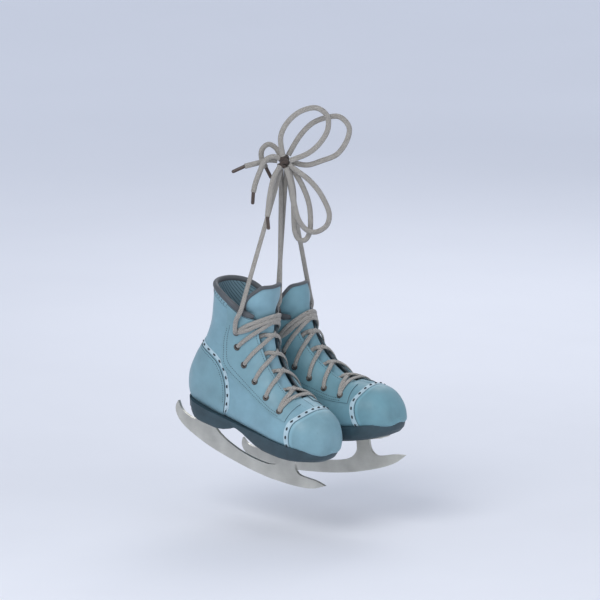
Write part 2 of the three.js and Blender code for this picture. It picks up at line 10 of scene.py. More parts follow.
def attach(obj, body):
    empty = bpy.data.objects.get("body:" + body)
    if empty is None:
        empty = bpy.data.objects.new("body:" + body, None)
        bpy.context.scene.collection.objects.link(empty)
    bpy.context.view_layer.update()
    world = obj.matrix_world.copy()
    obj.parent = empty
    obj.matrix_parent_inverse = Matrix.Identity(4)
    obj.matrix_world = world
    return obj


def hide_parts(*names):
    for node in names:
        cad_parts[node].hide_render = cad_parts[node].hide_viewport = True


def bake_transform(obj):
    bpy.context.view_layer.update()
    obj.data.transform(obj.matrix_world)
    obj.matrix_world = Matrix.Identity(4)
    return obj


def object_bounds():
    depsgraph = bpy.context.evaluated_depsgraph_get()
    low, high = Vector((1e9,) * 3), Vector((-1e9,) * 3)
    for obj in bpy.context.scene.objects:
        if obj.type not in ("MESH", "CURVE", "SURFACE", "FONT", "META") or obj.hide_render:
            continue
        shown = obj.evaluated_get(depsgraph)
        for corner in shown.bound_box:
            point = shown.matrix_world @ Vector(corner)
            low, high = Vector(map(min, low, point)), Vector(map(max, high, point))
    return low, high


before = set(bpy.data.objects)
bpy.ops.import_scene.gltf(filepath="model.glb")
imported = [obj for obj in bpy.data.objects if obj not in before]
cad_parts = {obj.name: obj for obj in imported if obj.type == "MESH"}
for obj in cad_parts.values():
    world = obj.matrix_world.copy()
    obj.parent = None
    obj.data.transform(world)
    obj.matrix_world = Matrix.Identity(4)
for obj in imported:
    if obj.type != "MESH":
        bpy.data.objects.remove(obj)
cad_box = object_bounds()

MM = 0.001

# ------------------------------------------------------------------ driving dimensions, in mm
RING = 20                     # ring points of the CAD sections; u counts them from the front
BACK = RING / 2               # u of the back seam
OVERLAY = 1.2                 # pieces sewn on top of the quarters
TOE_SWING = 4                 # how far the toe turns inwards, growing from x TOE_TURN over TOE_REACH
TOE_TURN = 110
TOE_REACH = 140
KNOT = (10, 10, 11)           # half sizes
LACE_WIDTH = 7.0
LACE_THICK = 4.6
LACING_WIDTH = 5.4
LACING_THICK = 2.8
SLOT = 1.0                    # half width of the opening at the throat, in ring points
SLOT_WIDENS = 1.1             # how much wider it gets on each side up to the collar
THROAT = 4.9                  # t of the opening's lower end
COLLAR_SECTION = 13           # t of the collar in front
FACING = 2.7                  # width of a facing
FACING_START = 4.45           # the least t of a facing's lower end
LEATHER_THICK = 2.4
EDGE_BEVEL = 0.45             # how much a panel's edges are rounded
ROUND = 2.15                  # squareness of a section's upper or front half
TONGUE_THICK = 5

SKATES = {
    "near": dict(at=(-123.4, 49.5, -328.6), yaw=-40, pitch=11, inner=1),
    "far": dict(at=(-39.5, 88.4, -381), yaw=-36, pitch=-8.7, inner=-1),
}

# back or bottom x, z; front or top x, z; half width; squareness of the bottom; widest place
SECTIONS = np.array([
    (238, 15, 238, 23, 13, 3, 0.4), (235, 14, 235.5, 39, 22, 4, 0.36),
    (228, 14, 229, 52, 29.5, 4.5, 0.36), (214, 14, 218, 62, 36.5, 4.5, 0.36),
    (195, 14, 199, 68, 41, 4.5, 0.36), (173, 14, 178, 73, 42, 4.5, 0.36),
    (148, 15, 160, 81, 40, 4.5, 0.36), (118, 15.5, 143, 96, 37, 4.5, 0.36),
    (84, 16, 131, 111, 35, 4.2, 0.38), (48, 16.5, 124, 126, 34, 3.6, 0.4),
    (15, 20, 119, 141, 33.5, 2.8, 0.43), (3, 45, 117, 152, 33.5, 2.3, 0.48),
    (9, 74, 115.5, 160, 34, 2.2, 0.48), (20, 100, 114.5, 168, 34.5, 2.2, 0.48),
    (26, 128, 114, 175, 35.5, 2.2, 0.48), (25, 156, 113, 181, 36.5, 2.2, 0.48),
    (22, 184, 112, 190, 37, 2.2, 0.48), (20, 212, 110, 208, 37, 2.2, 0.48),
], dtype=float)
TOP = len(SECTIONS) - 1

# Seams in side view, x and z.
COLLAR_LINE = [(-20, 179), (40, 177), (70, 168), (96, 158), (140, 154)]
TOE_CAP_LINE = [(208, -5), (203, 16), (199, 34), (200, 50), (208, 63), (214, 90)]
COUNTER_LINE = [(80, -5), (84, 22), (85, 44), (78, 66), (63, 85), (45, 94), (20, 99), (-20, 101)]
# t and u of the eyelets of one side, from the throat up.
EYELETS = [(5.1, 3), (6.4, 3.05), (7.6, 3.1), (9, 3.2), (10.5, 3.35), (12, 3.6)]

# The free laces, listed points on their routes from the knot.
LOOPS = [
    [(-1, -4, 6), (-4, -7, 35), (5, -8, 54), (22, -8, 68), (42, -8, 72), (55, -8, 62), (56, -8, 45),
     (47, -8, 28), (32, -8, 14), (5, -4, 2)],
    [(4, 4, 6), (21, 7, 34), (37, 7, 50), (55, 7, 57), (71, 6, 58), (83, 6, 45), (81, 6, 29), (68, 4, 10),
     (49, 2, 2), (29, 3, -4), (6, 3, 1)],
    [(6, -6, -2), (35, -9, -24), (50, -9, -45), (58, -9, -67), (54, -9, -81), (40, -9, -89), (29, -9, -86),
     (19, -12, -73), (13, -14, -50), (9, -14, -25), (3, -9, -5)],
    [(8, -1, -3), (24, -2, -31), (32, -1, -54), (34, -1, -78), (32.5, -2, -92), (27, -3, -100.5),
     (19.5, -3, -100), (14.5, -3, -91), (13, -2.5, -78), (12.5, -2.5, -60), (12, -3.5, -35), (6, -4.5, -7)],
]
ENDS = [
    [(-5, 0, 2), (-20, -1, 3), (-32, -2, 0), (-50, -3, -4.5)],
    [(-6, -3, 6), (-14, -7, 9), (-24, -8, 4), (-31, -8, -11), (-36.5, -8, -26), (-39, -8, -37)],
    [(-5, -7, -4), (-13, -19, -16), (-18, -29, -38), (-21, -33, -64)],
    [(-4, 4, 7), (-11, 7, 18), (-20, 8, 22), (-28, 8, 15), (-28.5, 8, 3), (-23, 7, -8)],
]
# The far ends of the aglets on the four lace ends.
AGLETS = [(-66.5, -4, -12), (-40, -8, -53), (-19.5, -35, -80.5), (-16, 6, -22)]
STRAND_ENDS = {
    "near": {"lateral": (-3.2, -4.2, -7), "medial": (-3.4, 3.2, -7)},
    "far": {"medial": (3.2, 2.5, -7), "lateral": (2.6, 7.2, -4)},
}


# ------------------------------------------------------------------ curves
def catmull(points, count):
    """count points spaced evenly along a smooth curve through the given ones."""
    p = np.asarray(points, float)
    p = np.vstack([2 * p[0] - p[1], p, 2 * p[-1] - p[-2]])
    knots = np.concatenate([[0], np.cumsum(np.sqrt(np.linalg.norm(np.diff(p, axis=0), axis=1)))])
    def blended(t, first, last, start, end):
        return ((knots[last] - t) * start + (t - knots[first]) * end) / (knots[last] - knots[first])

    out = []
    for i in range(1, len(p) - 2):
        t = np.linspace(knots[i], knots[i + 1], 24, endpoint=i == len(p) - 3)[:, None]
        a = [blended(t, i + k - 1, i + k, p[i + k - 1], p[i + k]) for k in (0, 1, 2)]
        b = [blended(t, i - 1 + k, i + 1 + k, a[k], a[k + 1]) for k in (0, 1)]
        out.append(blended(t, i, i + 1, b[0], b[1]))
    return resample(np.vstack(out), count)


def resample(line, count):
    steps = np.concatenate([[0], np.cumsum(np.linalg.norm(np.diff(line, axis=0), axis=1))])
    at = np.linspace(0, steps[-1], count)
    return np.stack([np.interp(at, steps, line[:, k]) for k in range(line.shape[1])], axis=1)


def unit(v):
    return v / np.maximum(np.linalg.norm(v, axis=-1, keepdims=True), 1e-9)


def opening(t, edge=0.0):
    """Half width of the opening at a section, with an edge added, in ring points."""
    up = (np.asarray(t, float) - THROAT) / (COLLAR_SECTION - THROAT)
    return SLOT + edge + SLOT_WIDENS * np.clip(up, 0, 1.4)


# ------------------------------------------------------------------ the upper's surface
class Last:
    """One boot's outer surface in the row frame, in mm: t counts sections from the toe, u ring points."""

    def __init__(self, at, yaw, pitch, inner):
        self.inner = inner
        turn = Matrix.Rotation(math.radians(yaw), 3, "Z") @ Matrix.Rotation(math.radians(pitch), 3, "Y")
        self.turn = np.array(turn)
        self.origin = np.array(at, float)

    def world(self, p):
        return np.asarray(p, float) @ self.turn.T + self.origin

    def section(self, t):
        t = np.clip(t, 0, TOP - 1e-6)
        i = np.floor(t).astype(int)
        f = (t - i)[..., None]
        p0, p1 = SECTIONS[np.maximum(i - 1, 0)], SECTIONS[i]
        p2, p3 = SECTIONS[i + 1], SECTIONS[np.minimum(i + 2, TOP)]
        return 0.5 * (2 * p1 + (p2 - p0) * f + (2 * p0 - 5 * p1 + 4 * p2 - p3) * f ** 2
                      + (3 * p1 - p0 - 3 * p2 + p3) * f ** 3)

    def local(self, t, u):
        t, u = np.broadcast_arrays(np.asarray(t, float), np.asarray(u, float))
        bx, bz, fx, fz, w, square, wide = np.moveaxis(self.section(t), -1, 0)
        c, s = np.cos(2 * np.pi * u / RING), np.sin(2 * np.pi * u / RING)
        power = np.where(c < 0, square, ROUND)
        reach = (np.abs(c) ** power + np.abs(s) ** power) ** (-1 / power)
        along = wide + np.where(c < 0, wide, 1 - wide) * reach * c
        x = bx + (fx - bx) * along
        z = bz + (fz - bz) * along
        y = w * reach * s + self.inner * TOE_SWING * np.maximum(0, (x - TOE_TURN) / TOE_REACH) ** 2
        return np.stack([x, y, z], axis=-1)

    def normal(self, t, u):
        e = 0.02
        round_ = self.local(t, u + e) - self.local(t, u - e)
        up = self.local(np.minimum(t + e, TOP - 0.001), u) - self.local(np.maximum(t - e, 0), u)
        return unit(np.cross(round_, up))

    def at(self, t, u, off=0.0):
        """Points off mm outside the surface, in the row frame."""
        t, u = np.broadcast_arrays(np.asarray(t, float), np.asarray(u, float))
        off = np.broadcast_to(np.asarray(off, float), t.shape)
        return self.world(self.local(t, u) + self.normal(t, u) * off[..., None])

    def out(self, t, u):
        return self.normal(np.asarray(t, float), np.asarray(u, float)) @ self.turn.T

    def seam_t(self, line, u, along_x, last=False):
        """t at which a column crosses a seam of the side view, for the first or the last time.

        u is a number or a function of t. The line is read as z over x, or as x over z.
        """
        ts = np.linspace(0.02, TOP - 0.02, 700)
        p = self.local(ts, u(ts) if callable(u) else np.full_like(ts, u))
        line = np.asarray(line, float)
        if along_x:
            side = p[:, 2] - np.interp(p[:, 0], line[:, 0], line[:, 1])
        else:
            side = np.interp(p[:, 2], line[:, 1], line[:, 0]) - p[:, 0]
        turns = np.nonzero(np.diff(np.sign(side)) > 0)[0]
        k = turns[-1 if last else 0]
        f = side[k] / (side[k] - side[k + 1])
        return ts[k] + f * (ts[k + 1] - ts[k])

    def seam_u(self, polygon, t):
        """u, between the front and the back, at which the ring t enters a region of the side view."""
        us = np.linspace(BACK, 2, 400)
        p = self.local(np.full_like(us, t), us)
        inside = in_polygon(p[:, 0], p[:, 2], polygon)
        if not inside[0]:
            return BACK
        k = np.nonzero(~inside)[0]
        return us[k[0]] if len(k) else 2.0


def in_polygon(x, y, polygon):
    polygon = np.asarray(polygon, float)
    inside = np.zeros(x.shape, bool)
    for (x0, y0), (x1, y1) in zip(polygon, np.roll(polygon, -1, axis=0)):
        if y0 == y1:
            continue
        inside ^= ((y0 > y) != (y1 > y)) & (x < (x1 - x0) * (y - y0) / (y1 - y0) + x0)
    return inside


# ------------------------------------------------------------------ meshes
def new_object(name, verts, faces, materials):
    mesh = bpy.data.meshes.new(name)
    mesh.from_pydata([tuple(v) for v in np.asarray(verts) * MM], [], faces)
    mesh.update()
    obj = bpy.data.objects.new(name, mesh)
    bpy.context.collection.objects.link(obj)
    for material in materials if isinstance(materials, (list, tuple)) else [materials]:
        mesh.materials.append(material)
    mesh.polygons.foreach_set("use_smooth", [True] * len(mesh.polygons))
    return obj


def grid_faces(rows, columns, start=0, wrap=False, flip=False):
    faces = []
    for i in range(rows - 1):
        for j in range(columns - (0 if wrap else 1)):
            k = (j + 1) % columns
            quad = (start + i * columns + j, start + (i + 1) * columns + j,
                    start + (i + 1) * columns + k, start + i * columns + k)
            faces.append(quad[::-1] if flip else quad)
    return faces


def outward(points, faces, out):
    """True if the middle face of the list looks the way the surface faces out."""
    flat = points.reshape(-1, 3)
    face = faces[len(faces) // 2]
    n = np.cross(flat[face[1]] - flat[face[0]], flat[face[2]] - flat[face[1]])
    return float(n @ out.reshape(-1, 3)[face[0]]) > 0


def panel(name, last, t, u, off, thick, materials, bevel=EDGE_BEVEL):
    """A leather panel: a grid on the surface with real thickness and softened, dyed edges."""
    t, u = np.broadcast_arrays(t, u)
    return sheet(name, last.at(t, u, off), last.out(t, u), thick, materials, bevel)


def sheet(name, points, out, thick, materials, bevel=EDGE_BEVEL):
    """A panel through a grid of points, with the way it faces at each."""
    rows, columns = points.shape[:2]
    faces = grid_faces(rows, columns)
    if not outward(points, faces, out):
        faces = grid_faces(rows, columns, flip=True)
    obj = new_object(name, points.reshape(-1, 3), faces, materials)
    solid = obj.modifiers.new("thickness", "SOLIDIFY")
    solid.thickness = thick * MM
    solid.offset = -1
    solid.use_even_offset = False
    if len(obj.data.materials) > 1:
        solid.material_offset_rim = 1
    round_edge = obj.modifiers.new("edge", "BEVEL")
    round_edge.width = bevel * MM
    round_edge.segments = 3
    round_edge.limit_method = "ANGLE"
    round_edge.angle_limit = math.radians(50)
    return obj


def sweep(name, path, half_w, half_h, material, side=None, sides=14):
    """A closed tube with an oval section along a path; side is the direction of the section's width."""
    path = np.asarray(path, float)
    n = len(path)
    along = unit(np.gradient(path, axis=0))
    if side is None:
        side = np.zeros_like(path)
        side[0] = unit(np.cross(along[0], (0.13, 0.95, 0.2)))
        for i in range(1, n):
            side[i] = unit(side[i - 1] - along[i] * (side[i - 1] @ along[i]))
    else:
        side = unit(side - along * np.sum(side * along, axis=1, keepdims=True))
    up = np.cross(along, side)
    w, h = np.broadcast_to(half_w, n).astype(float), np.broadcast_to(half_h, n).astype(float)
    angle = np.arange(sides) * 2 * np.pi / sides
    rings = (path[:, None] + side[:, None] * (w[:, None, None] * np.cos(angle)[None, :, None])
             + up[:, None] * (h[:, None, None] * np.sin(angle)[None, :, None]))
    verts = rings.reshape(-1, 3)
    faces = grid_faces(n, sides, wrap=True, flip=True)
    faces.append(tuple(range(sides)))
    faces.append(tuple(range((n - 1) * sides, n * sides))[::-1])
    return new_object(name, verts, faces, material)


def join(name, objs):
    bpy.ops.object.select_all(action="DESELECT")
    for o in objs:
        o.select_set(True)
    bpy.context.view_layer.objects.active = objs[0]
    bpy.ops.object.join()
    objs[0].name = name
    return objs[0]


# ------------------------------------------------------------------ materials
def material(name, rough, metallic=0.0):
    m = bpy.data.materials.new(name)
    m.use_nodes = True
    shader = m.node_tree.nodes["Principled BSDF"]
    shader.inputs["Roughness"].default_value = rough
    shader.inputs["Metallic"].default_value = metallic
    return m, m.node_tree, shader


def node(tree, kind, **values):
    n = tree.nodes.new(kind)
    for key, value in values.items():
        if key in n.inputs:
            n.inputs[key].default_value = value
        else:
            setattr(n, key, value)
    return n


def where(tree):
    return node(tree, "ShaderNodeTexCoord").outputs["Object"]


def noise(tree, scale, detail=4, rough=0.55):
    n = node(tree, "ShaderNodeTexNoise", Scale=scale, Detail=detail, Roughness=rough)
    tree.links.new(where(tree), n.inputs["Vector"])
    return n.outputs["Fac"]


def ramp(tree, value, stops):
    r = node(tree, "ShaderNodeValToRGB")
    while len(r.color_ramp.elements) < len(stops):
        r.color_ramp.elements.new(0.5)
    for e, (position, colour) in zip(r.color_ramp.elements, stops):
        e.position = position
        e.color = (*colour, 1)
    tree.links.new(value, r.inputs["Fac"])
    return r.outputs["Color"]


def mix(tree, fac, base, colour):
    """A plain colour laid over a base, where fac says so."""
    m = node(tree, "ShaderNodeMix", data_type="RGBA")
    fac_in, a, b = (next(s for s in m.inputs if s.name == name and s.type == kind)
                    for name, kind in (("Factor", "VALUE"), ("A", "RGBA"), ("B", "RGBA")))
    tree.links.new(fac, fac_in)
    tree.links.new(base, a)
    b.default_value = (*colour, 1)
    return next(s for s in m.outputs if s.type == "RGBA")


def bump(tree, shader, layers):
    """Stacks bump layers, (height, strength, distance in mm)."""
    last_normal = None
    for height, strength, distance in layers:
        b = node(tree, "ShaderNodeBump", Strength=strength, Distance=distance * MM)
        tree.links.new(height, b.inputs["Height"])
        if last_normal is not None:
            tree.links.new(last_normal, b.inputs["Normal"])
        last_normal = b.outputs["Normal"]
    tree.links.new(last_normal, shader.inputs["Normal"])


def srgb(r, g, b):
    """A colour given in sRGB bytes, as the linear one that Blender uses."""
    def linear(c):
        c /= 255
        return c / 12.92 if c <= 0.04045 else ((c + 0.055) / 1.055) ** 2.4
    return linear(r), linear(g), linear(b)


def tone(colour, k):
    return tuple(min(1, c * k) for c in colour)


def leather(name, colour, rough=0.5):
    m, tree, shader = material(name, rough)
    patches = noise(tree, 38, 5)
    base = ramp(tree, patches, [(0.3, tone(colour, 0.86)), (0.52, colour), (0.75, tone(colour, 1.12))])
    scuffs = ramp(tree, noise(tree, 150, 8, 0.7), [(0.6, (0, 0, 0)), (0.74, (0.5, 0.5, 0.5))])
    # Convex edges, found by pointiness, are mixed towards a lighter copy of the colour.
    convexity = node(tree, "ShaderNodeNewGeometry").outputs["Pointiness"]
    edges = ramp(tree, convexity, [(0.5, (0, 0, 0)), (0.6, (0.6, 0.6, 0.6))])
    tinted = mix(tree, edges, base, tone(colour, 1.4))
    tree.links.new(mix(tree, scuffs, tinted, tone(colour, 0.8)), shader.inputs["Base Color"])
    grain = node(tree, "ShaderNodeTexVoronoi", Scale=720, feature="DISTANCE_TO_EDGE")
    tree.links.new(where(tree), grain.inputs["Vector"])
    bump(tree, shader, [(noise(tree, 90, 3), 0.25, 0.8), (grain.outputs["Distance"], 0.35, 0.25),
                        (noise(tree, 2200, 2), 0.15, 0.1)])
    gloss = ramp(tree, noise(tree, 60, 4), [(0.35, (rough - 0.1,) * 3), (0.7, (rough + 0.16,) * 3)])
    tree.links.new(gloss, shader.inputs["Roughness"])
    shader.inputs["Sheen Weight"].default_value = 0.12
    return m


def rubber(name, colour):
    m, tree, shader = material(name, 0.5)
    base = ramp(tree, noise(tree, 55, 6), [(0.3, tone(colour, 0.8)), (0.7, tone(colour, 1.18))])
    dust = ramp(tree, noise(tree, 240, 6, 0.7), [(0.58, (0, 0, 0)), (0.78, (0.35, 0.35, 0.35))])
    tree.links.new(mix(tree, dust, base, tone(colour, 1.7)), shader.inputs["Base Color"])
    bump(tree, shader, [(noise(tree, 900, 3), 0.2, 0.2), (noise(tree, 70, 3), 0.12, 0.6)])
    return m


def steel(name, colour):
    m, tree, shader = material(name, 0.42, 0.75)
    stretch = node(tree, "ShaderNodeMapping")
    stretch.inputs["Scale"].default_value = (30, 30, 900)
    tree.links.new(where(tree), stretch.inputs["Vector"])
    brush = node(tree, "ShaderNodeTexNoise", Scale=1.0, Detail=6)
    tree.links.new(stretch.outputs["Vector"], brush.inputs["Vector"])
    base = ramp(tree, noise(tree, 32, 5), [(0.3, tone(colour, 0.82)), (0.7, tone(colour, 1.1))])
    tree.links.new(base, shader.inputs["Base Color"])
    rough = ramp(tree, brush.outputs["Fac"], [(0.3, (0.34,) * 3), (0.7, (0.55,) * 3)])
    tree.links.new(rough, shader.inputs["Roughness"])
    bump(tree, shader, [(brush.outputs["Fac"], 0.12, 0.1), (noise(tree, 140, 6), 0.1, 0.3)])
    return m


def woven(name, colour, dark):
    """Plaited lace: two crossing sets of fine diagonal ribs."""
    m, tree, shader = material(name, 0.85)
    ribs = []
    for turn in (0.8, -0.8):
        spin = node(tree, "ShaderNodeMapping")
        spin.inputs["Rotation"].default_value = (turn, turn * 0.6, 0)
        tree.links.new(where(tree), spin.inputs["Vector"])
        wave = node(tree, "ShaderNodeTexWave", Scale=620, Distortion=0.6, Detail=1)
        wave.bands_direction = "Z"
        tree.links.new(spin.outputs["Vector"], wave.inputs["Vector"])
        ribs.append(wave.outputs["Fac"])
    both = node(tree, "ShaderNodeMath", operation="MULTIPLY")
    tree.links.new(ribs[0], both.inputs[0])
    tree.links.new(ribs[1], both.inputs[1])
    base = ramp(tree, both.outputs[0], [(0.0, dark), (0.45, colour), (1.0, tone(colour, 1.08))])
    soil = ramp(tree, noise(tree, 120, 5), [(0.45, (0, 0, 0)), (0.75, (0.5, 0.5, 0.5))])
    tree.links.new(mix(tree, soil, base, tone(colour, 0.72)), shader.inputs["Base Color"])
    bump(tree, shader, [(both.outputs[0], 0.5, 0.35), (noise(tree, 3000, 2), 0.2, 0.08)])
    shader.inputs["Sheen Weight"].default_value = 0.3
    return m


def hatched(name, colour, dark):
    """Lining cloth with a diagonal rib."""
    m, tree, shader = material(name, 0.9)
    wave = node(tree, "ShaderNodeTexWave", Scale=120, Distortion=1.0, Detail=2)
    wave.bands_direction = "DIAGONAL"
    tree.links.new(where(tree), wave.inputs["Vector"])
    lines = ramp(tree, wave.outputs["Fac"], [(0.0, dark), (0.28, colour), (1.0, tone(colour, 1.05))])
    spots = ramp(tree, noise(tree, 70, 5), [(0.4, (0, 0, 0)), (0.8, (0.6, 0.6, 0.6))])
    tree.links.new(mix(tree, spots, lines, tone(colour, 0.75)), shader.inputs["Base Color"])
    bump(tree, shader, [(wave.outputs["Fac"], 0.3, 0.4), (noise(tree, 1800, 3), 0.35, 0.2)])
    shader.inputs["Sheen Weight"].default_value = 0.25
    return m


def plain_fine(name, colour, rough=0.5, metallic=0.0):
    """Small parts: thread, aglets and eyelets, with fine unevenness."""
    m, tree, shader = material(name, rough, metallic)
    base = ramp(tree, noise(tree, 300, 5), [(0.3, tone(colour, 0.8)), (0.7, tone(colour, 1.15))])
    tree.links.new(base, shader.inputs["Base Color"])
    bump(tree, shader, [(noise(tree, 1500, 3), 0.3, 0.12)])
    return m


# The far skate's leather and overlay colours are darker copies of the near skate's: painted shade.
LOOKS = {
    "near": dict(leather=leather("leather_near", srgb(128, 167, 181)),
                 overlay=leather("overlay_near", srgb(122, 160, 172))),
    "far": dict(leather=leather("leather_far_shaded", srgb(112, 154, 167)),
                overlay=leather("overlay_far_shaded", srgb(108, 151, 163))),
}
BAND = leather("seam_band", srgb(178, 203, 213), 0.6)
EDGE = leather("dyed_edge", srgb(66, 70, 74), 0.6)
RIM = leather("collar_rim", srgb(78, 82, 86), 0.62)
SOLE = rubber("sole", srgb(50, 71, 80))
LINING = hatched("lining", srgb(112, 142, 154), srgb(56, 76, 88))
LACE = woven("lace", srgb(200, 197, 190), srgb(104, 98, 92))
LACE_DARK = woven("lace_dark", srgb(92, 78, 72), srgb(44, 36, 32))
THREAD = plain_fine("thread", srgb(50, 56, 62), 0.8)
AGLET = plain_fine("aglet", srgb(78, 66, 60), 0.4)
EYELET = plain_fine("eyelet", srgb(92, 88, 84), 0.35, 0.7)
# Painted shade: a near-black disc that stands for the dark hollow inside each eyelet.
HOLE_SHADE = plain_fine("eyelet_hole", srgb(30, 30, 32), 0.9)
STEEL = steel("blade_steel", srgb(203, 202, 194))


# ------------------------------------------------------------------ camera, light and floor
# The camera and the lamps are placed in metres.
LENS = 421.3
CAMERA_DISTANCE = 9.0
CAMERA_TILT = math.radians(12)
CAMERA_TARGET = Vector((0.0205, 0.0, -0.1796))
SKY = srgb(212, 219, 234)
SKY_STRENGTH = 0.62
LAMPS = [  # name, place, size, power
    ("key", (-0.9, -1.6, 1.3), 1.4, 26),
    ("fill", (1.5, -1.2, 0.4), 1.6, 8),
    ("rim", (0.4, 1.5, 1.0), 1.2, 9),
]
# The backdrop is in mm: a floor below the blades, a bend far behind and a wall.
FLOOR_DROP = 60
FLOOR_HALF = 9000
BEND_START = 9800
BEND_RADIUS = 1200
WALL_HEIGHT = 6000
# It glows a little more with its distance behind the knot, in metres, as the lamps don't reach there.
GLOW = {"From Min": 0.2, "From Max": 3.0, "To Min": 0.0, "To Max": 0.26}


def set_camera():
    data = bpy.data.cameras.new("camera")
    camera = bpy.data.objects.new("camera", data)
    bpy.context.collection.objects.link(camera)
    bpy.context.scene.camera = camera
    data.lens = LENS
    back = CAMERA_DISTANCE * math.cos(CAMERA_TILT)
    up = CAMERA_DISTANCE * math.sin(CAMERA_TILT)
    camera.location = CAMERA_TARGET + Vector((0, -back, up))
    camera.rotation_euler = (math.pi / 2 - CAMERA_TILT, 0, 0)
    bpy.context.scene.view_settings.view_transform = "Standard"


def set_lights():
    centre = (np.array(cad_box[0]) + np.array(cad_box[1])) / 2
    world = bpy.data.worlds.new("world")
    bpy.context.scene.world = world
    world.use_nodes = True
    sky = world.node_tree.nodes["Background"]
    sky.inputs["Color"].default_value = (*SKY, 1)
    sky.inputs["Strength"].default_value = SKY_STRENGTH
    for name, place, size, power in LAMPS:
        lamp = bpy.data.lights.new(name, "AREA")
        lamp.energy = power
        lamp.size = size
        obj = bpy.data.objects.new(name, lamp)
        bpy.context.collection.objects.link(obj)
        obj.location = place
        obj.rotation_euler = (Vector(centre) - Vector(place)).to_track_quat("-Z", "Y").to_euler()


def set_backdrop():
    floor_z = cad_box[0][2] / MM - FLOOR_DROP
    bend = [(BEND_START + BEND_RADIUS * math.sin(a), floor_z + BEND_RADIUS * (1 - math.cos(a)))
            for a in np.linspace(0, math.pi / 2, 24)]
    profile = [(-FLOOR_HALF, floor_z), *bend, (BEND_START + BEND_RADIUS, floor_z + WALL_HEIGHT)]
    verts = [(x, y, z) for y, z in profile for x in (-FLOOR_HALF, FLOOR_HALF)]
    m, tree, shader = material("backdrop_paper", 0.95)
    base = ramp(tree, noise(tree, 3, 3), [(0.3, srgb(236, 238, 244)), (0.7, srgb(239, 241, 247))])
    tree.links.new(base, shader.inputs["Base Color"])
    split = node(tree, "ShaderNodeSeparateXYZ")
    tree.links.new(where(tree), split.inputs[0])
    glow = node(tree, "ShaderNodeMapRange", **GLOW)
    tree.links.new(split.outputs["Y"], glow.inputs["Value"])
    tree.links.new(glow.outputs["Result"], shader.inputs["Emission Strength"])
    shader.inputs["Emission Color"].default_value = (*SKY, 1)
    new_object("backdrop", verts, grid_faces(len(profile), 2), m)


set_camera()
set_lights()
set_backdrop()


# ------------------------------------------------------------------ the free laces
LACE_ROOM, STRAND_ROOM = 0.86, 0.8   # the share of the knot's size at which a lace stops
STRAND_SLIM = 0.86                   # a strand is pulled tight, so it is slimmer than a loop
AGLET_PROFILE = [(0, 1.9), (0.04, 2.5), (0.1, 2.35), (0.9, 2.3), (0.97, 2.0), (1, 1.2)]  # along, radius
AGLET_STEPS = 18
KNOT_TURNS = [(0.25, 0.3, 1.0), (-0.5, 1.2, 0.94), (1.15, 2.2, 0.88), (0.8, 3.6, 0.8)]   # tilt, spin, size
KNOT_TURN_STEP = 2.6                 # from one turn of the knot up to the next


def entering(path, room):
    """The part of a path that lies outside the knot."""
    path = np.asarray(path)
    outside = np.sum((path / (np.array(KNOT) * room)) ** 2, axis=1) >= 1
    keep = np.nonzero(outside)[0]
    return path[keep[0]:keep[-1] + 1]


def lace(name, path, body):
    """An oval lace that rolls a little along its way."""
    path = entering(path, LACE_ROOM)
    side = np.cross(unit(np.gradient(path, axis=0)), (0, 1, 0))
    side[:, 1] += 0.25 * np.sin(np.linspace(0, 5, len(path)))
    obj = sweep(f"{name}_lace", path, LACE_WIDTH / 2, LACE_THICK / 2, LACE, side=side, sides=16)
    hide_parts(name)
    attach(obj, body)


def aglet(k, body, end, tip):
    """The hard tip of a lace, from just inside the lace's end."""
    end, tip = np.array(end, float), np.array(tip, float)
    along = unit(tip - end)
    path = catmull([end - along * 1.0, end + along * 0.6, tip], AGLET_STEPS)
    radius = np.interp(np.linspace(0, 1, AGLET_STEPS), *zip(*AGLET_PROFILE))
    cap = sweep(f"lace_tip_{k}", path, radius, radius * 0.92, AGLET)
    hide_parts(f"aglet_{k}")
    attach(cap, body)
    return cap


def bow():
    for k, route in enumerate(LOOPS, 1):
        lace(f"bow_loop_{k}", catmull(route, 70), "bow")
    for k, (route, tip) in enumerate(zip(ENDS, AGLETS), 1):
        body = "near_skate" if k == 3 else "bow"
        cap = aglet(k, body, route[-1], tip)
        lace(f"lace_end_{k}", catmull(route, 40), body)


def knot():
    """Turns of dark lace wound round the bundle."""
    turns = []
    angle = np.linspace(0, 2 * np.pi * 1.02, 48)
    for k, (tilt, spin, size) in enumerate(KNOT_TURNS):
        wave = np.sin(2 * angle + spin) * 1.6
        ring = np.stack([np.cos(angle) * 6.6, np.sin(angle) * 6.2, wave], axis=1) * size
        turn = np.array(Matrix.Rotation(spin, 3, "Z") @ Matrix.Rotation(tilt, 3, "X"))
        path = ring @ turn.T + (0, 0, (k - 1.5) * KNOT_TURN_STEP)
        turns.append(sweep(f"turn_{k}", path, 2.7, 1.9, LACE_DARK))
    obj = join("knot_wound", turns)
    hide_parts("knot")
    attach(obj, "bow")


bow()
knot()


# ------------------------------------------------------------------ one skate's upper
OVERLAY_BEVEL, BAND_BEVEL, CLOTH_BEVEL = 0.35, 0.25, 0.2
OVERLAY_OUT, OVERLAY_THICK = OVERLAY + 0.1, OVERLAY - 0.1
BAND_OUT, BAND_THICK, BAND_STITCH_OUT = 0.75, 0.6, 0.9
ON_OVERLAY, ON_QUARTER = OVERLAY + 0.15, 0.1   # how far out the running stitches lie
PANEL_BACK = 9.98             # the quarters stop just short of the back seam
QUARTER_START = -0.4          # x of the quarters' front edge, from the toe cap's seam
REGION_LOW = -5               # z of the lower end of the region behind a heel seam
AT_BACK = 9.9                 # u from which a seam counts as having reached the back
BAND_WIDTH = 7.5              # from a seam to the far edge of its band
SIDE_ROWS = (FACING - 0.17, FACING - 0.4, 0.2)   # rows beside the opening, in ring points from it
BACK_ROW = 9.72               # u of the row beside the back seam

